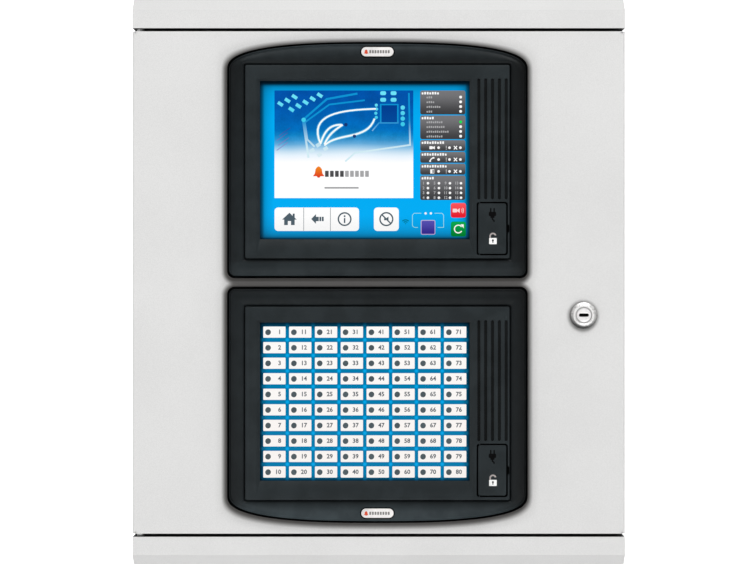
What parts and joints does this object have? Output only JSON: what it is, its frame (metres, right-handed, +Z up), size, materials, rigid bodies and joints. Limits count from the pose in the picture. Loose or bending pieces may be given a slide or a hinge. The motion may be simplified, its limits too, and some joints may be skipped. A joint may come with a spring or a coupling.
{
  "type": "fire alarm control panel",
  "caption": "Wall-mounted steel fire alarm panel: hinged locking door with a touch display module above a numbered zone indicator module, both in bowed black bezels.",
  "frame": {"origin": "centre of the four wall fixing holes, on the cabinet's back face", "axes": "+Y points out of the back into the wall, so the front faces -Y; +Z is up; +X is to the viewer's right"},
  "size_m": [0.404, 0.158, 0.48],
  "materials": {
    "cabinet_paint": "satin light grey textured powder coat",
    "plated_steel": "bright zinc plate",
    "lock_chrome": "polished chrome plate",
    "satin_nickel": "satin nickel plate",
    "brass": "bright brass",
    "board_laminate": "green solder resist",
    "terminal_green": "moulded green nylon",
    "relay_orange": "moulded orange plastic",
    "capacitor_sleeve": "dark blue shrink sleeve",
    "black_plastic": "fine matt moulded black",
    "ivory_plastic": "moulded off-white nylon",
    "door_seal_foam": "closed-cell foam strip",
    "bezel_black": "satin moulded black",
    "frame_charcoal": "fine spark-eroded charcoal",
    "badge_white": "glossy white print",
    "touch_glass": "lit screen behind glass",
    "overlay_blue": "blue printed film",
    "led_lens": "smoked diffusing lens"
  },
  "bodies": {
    "cabinet": {"cabinet_body": "cabinet_paint", "top_cap": "cabinet_paint", "bottom_cap": "cabinet_paint", "hinge_pins": "plated_steel", "battery_terminals": "plated_steel", "chassis_plate": "plated_steel", "battery_strap": "plated_steel", "power_supply_case": "plated_steel", "fixing_pillars": "brass", "earth_studs": "brass", "main_board": "board_laminate", "loop_card": "board_laminate", "field_terminals": "terminal_green", "board_relays": "relay_orange", "board_capacitors": "capacitor_sleeve", "board_chips": "black_plastic", "ribbon_headers": "black_plastic", "power_supply_terminals": "black_plastic", "battery_left": "black_plastic", "battery_right": "black_plastic", "mains_terminal_block": "ivory_plastic"},
    "door": {"door_panel": "cabinet_paint", "door_seal": "door_seal_foam", "hinge_bushes": "ivory_plastic", "lock_housing": "lock_chrome", "lock_nut": "plated_steel", "display_fascia": "bezel_black", "display_inner_frame": "frame_charcoal", "display_badge": "badge_white", "display_vent_gauze": "black_plastic", "display_board": "board_laminate", "display_rear_cover": "plated_steel", "display_fixings": "plated_steel", "display_service_bay": "black_plastic", "display_usb_socket": "plated_steel", "display_key_housing": "lock_chrome", "zone_fascia": "bezel_black", "zone_inner_frame": "frame_charcoal", "zone_badge": "badge_white", "zone_vent_gauze": "black_plastic", "zone_board": "board_laminate", "zone_rear_cover": "plated_steel", "zone_fixings": "plated_steel", "zone_service_bay": "black_plastic", "zone_usb_socket": "plated_steel", "zone_key_housing": "lock_chrome", "display_touch_glass": "touch_glass", "display_lcd": "plated_steel", "display_sounder": "black_plastic", "zone_overlay": "overlay_blue", "zone_labels": "badge_white", "zone_leds": "led_lens"},
    "lock_barrel": {"lock_plug": "satin_nickel", "lock_cam": "plated_steel"},
    "display_flap_body": {"display_flap": "frame_charcoal"},
    "zone_flap_body": {"zone_flap": "frame_charcoal"},
    "display_key": {"display_key_plug": "satin_nickel"},
    "zone_key": {"zone_key_plug": "satin_nickel"}
  },
  "joints": [
    {"name": "door_hinge", "type": "hinge", "parent": "cabinet", "child": "door", "pos_m": [-0.196, -0.1415, 0], "axis": [0, 0, -1], "range_deg": [0, 115]},
    {"name": "lock_turn", "type": "hinge", "parent": "door", "child": "lock_barrel", "pos_m": [0.1678, -0.15, -0.0267], "axis": [0, 1, 0], "range_deg": [0, 90]},
    {"name": "display_flap_hinge", "type": "hinge", "parent": "door", "child": "display_flap_body", "pos_m": [0.0821, -0.157, 0.0439], "axis": [0, 0, -1], "range_deg": [0, 110]},
    {"name": "zone_flap_hinge", "type": "hinge", "parent": "door", "child": "zone_flap_body", "pos_m": [0.0821, -0.157, -0.1533], "axis": [0, 0, -1], "range_deg": [0, 110]},
    {"name": "display_key_turn", "type": "hinge", "parent": "door", "child": "display_key", "pos_m": [0.0924, -0.1448, 0.0351], "axis": [0, 1, 0], "range_deg": [0, 90]},
    {"name": "zone_key_turn", "type": "hinge", "parent": "door", "child": "zone_key", "pos_m": [0.0924, -0.1448, -0.1621], "axis": [0, 1, 0], "range_deg": [0, 90]}
  ]
}
